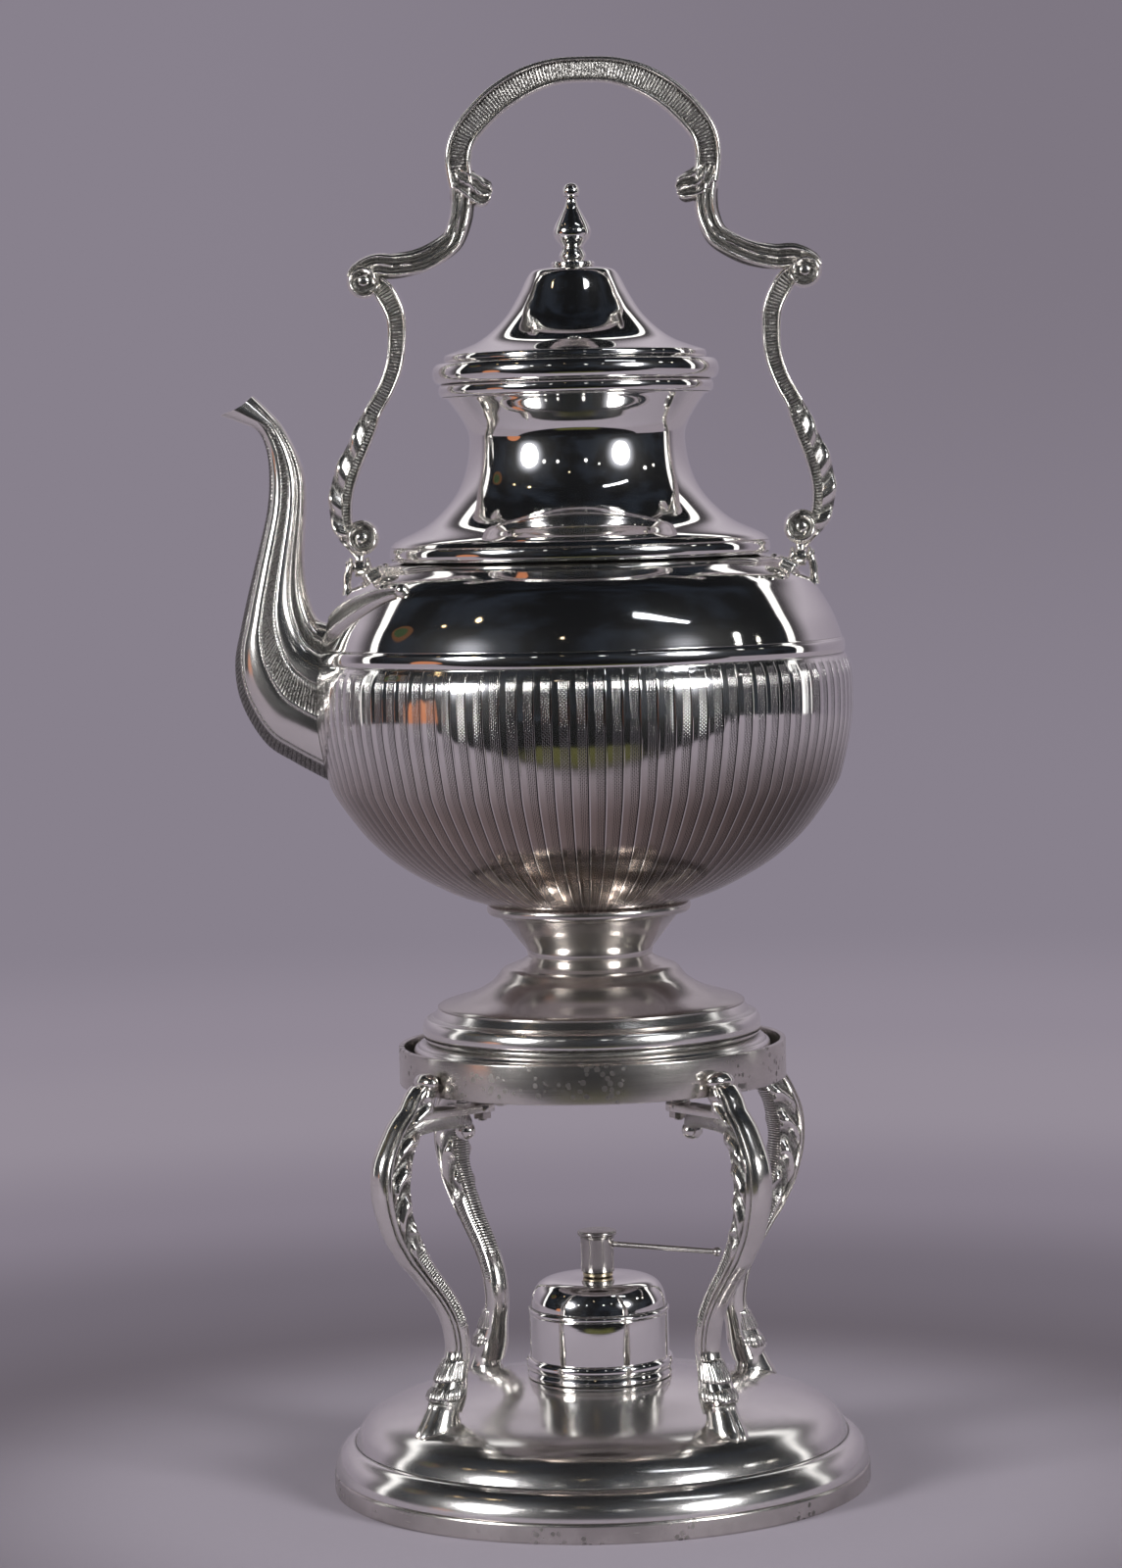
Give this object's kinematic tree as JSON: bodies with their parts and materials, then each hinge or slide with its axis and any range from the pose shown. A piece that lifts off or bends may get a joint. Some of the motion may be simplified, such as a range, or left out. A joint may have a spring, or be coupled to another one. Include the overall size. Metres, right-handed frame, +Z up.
{
  "type": "spirit kettle on stand",
  "caption": "Silver-plated spirit kettle with a swing handle and lift-off lid, on a hoof-footed stand over a small wick burner.",
  "frame": {"origin": "centre of the underside of the stand's base, on the axis of the base, the burner and the kettle", "axes": "+Z up along the axis of the kettle; the spout points to -X; +Y points away from the viewer, to the back of the kettle"},
  "size_m": [0.2194, 0.19, 0.5013],
  "materials": {
    "mirror_silver": "mirror polished silver plate, lightly tarnished",
    "satin_silver": "satin worn silver plate",
    "old_silver": "cast silver plate, darkened in the recesses",
    "brass": "plain dull brass",
    "wick_cotton": "twisted cotton, charred at the top"
  },
  "bodies": {
    "stand": {"base_band": "mirror_silver", "base_plate": "satin_silver", "base_dish": "mirror_silver", "burner_seat": "satin_silver", "leg_front_left": "old_silver", "leg_front_right": "old_silver", "leg_back_left": "old_silver", "leg_back_right": "old_silver", "hoof_screws": "brass", "stand_ring": "satin_silver", "ring_screws": "brass", "ring_nuts": "brass"},
    "kettle": {"foot_rim": "satin_silver", "foot_dome": "satin_silver", "foot_collar": "satin_silver", "kettle_bowl": "mirror_silver", "body_band": "mirror_silver", "kettle_shoulder": "mirror_silver", "neck_flange": "mirror_silver", "neck": "mirror_silver", "neck_rim": "mirror_silver", "spout": "satin_silver", "spout_leaf_front": "mirror_silver", "spout_leaf_back": "mirror_silver", "lug_left": "old_silver", "lug_right": "old_silver", "hinge_pin_left": "old_silver", "hinge_pin_right": "old_silver"},
    "lid": {"lid_shell": "mirror_silver", "lid_bezel": "mirror_silver", "finial_washer": "mirror_silver", "finial": "mirror_silver", "finial_nut": "brass"},
    "handle": {"handle_grip": "old_silver", "handle_arm_left": "old_silver", "handle_arm_right": "old_silver"},
    "burner": {"burner_foot": "mirror_silver", "burner_font": "mirror_silver", "burner_top": "mirror_silver"},
    "wick_holder": {"wick_holder": "brass", "wick": "wick_cotton"},
    "snuffer": {"snuffer_cap": "satin_silver", "snuffer_rod": "satin_silver"}
  },
  "joints": [
    {"name": "kettle_lift", "type": "slide", "parent": "stand", "child": "kettle", "axis": [0, 0, 1], "range_m": [0, 0.06]},
    {"name": "lid_lift", "type": "slide", "parent": "kettle", "child": "lid", "axis": [0, 0, 1], "range_m": [0, 0.03]},
    {"name": "handle_swing", "type": "hinge", "parent": "kettle", "child": "handle", "pos_m": [0, 0, 0.326], "axis": [1, 0, 0], "range_deg": [-60, 60]},
    {"name": "burner_lift", "type": "slide", "parent": "stand", "child": "burner", "axis": [0, 0, 1], "range_m": [0, 0.02]},
    {"name": "wick_lift", "type": "slide", "parent": "burner", "child": "wick_holder", "axis": [0, 0, 1], "range_m": [0, 0.012]},
    {"name": "snuffer_lift", "type": "slide", "parent": "wick_holder", "child": "snuffer", "axis": [0, 0, 1], "range_m": [0, 0.018]}
  ]
}
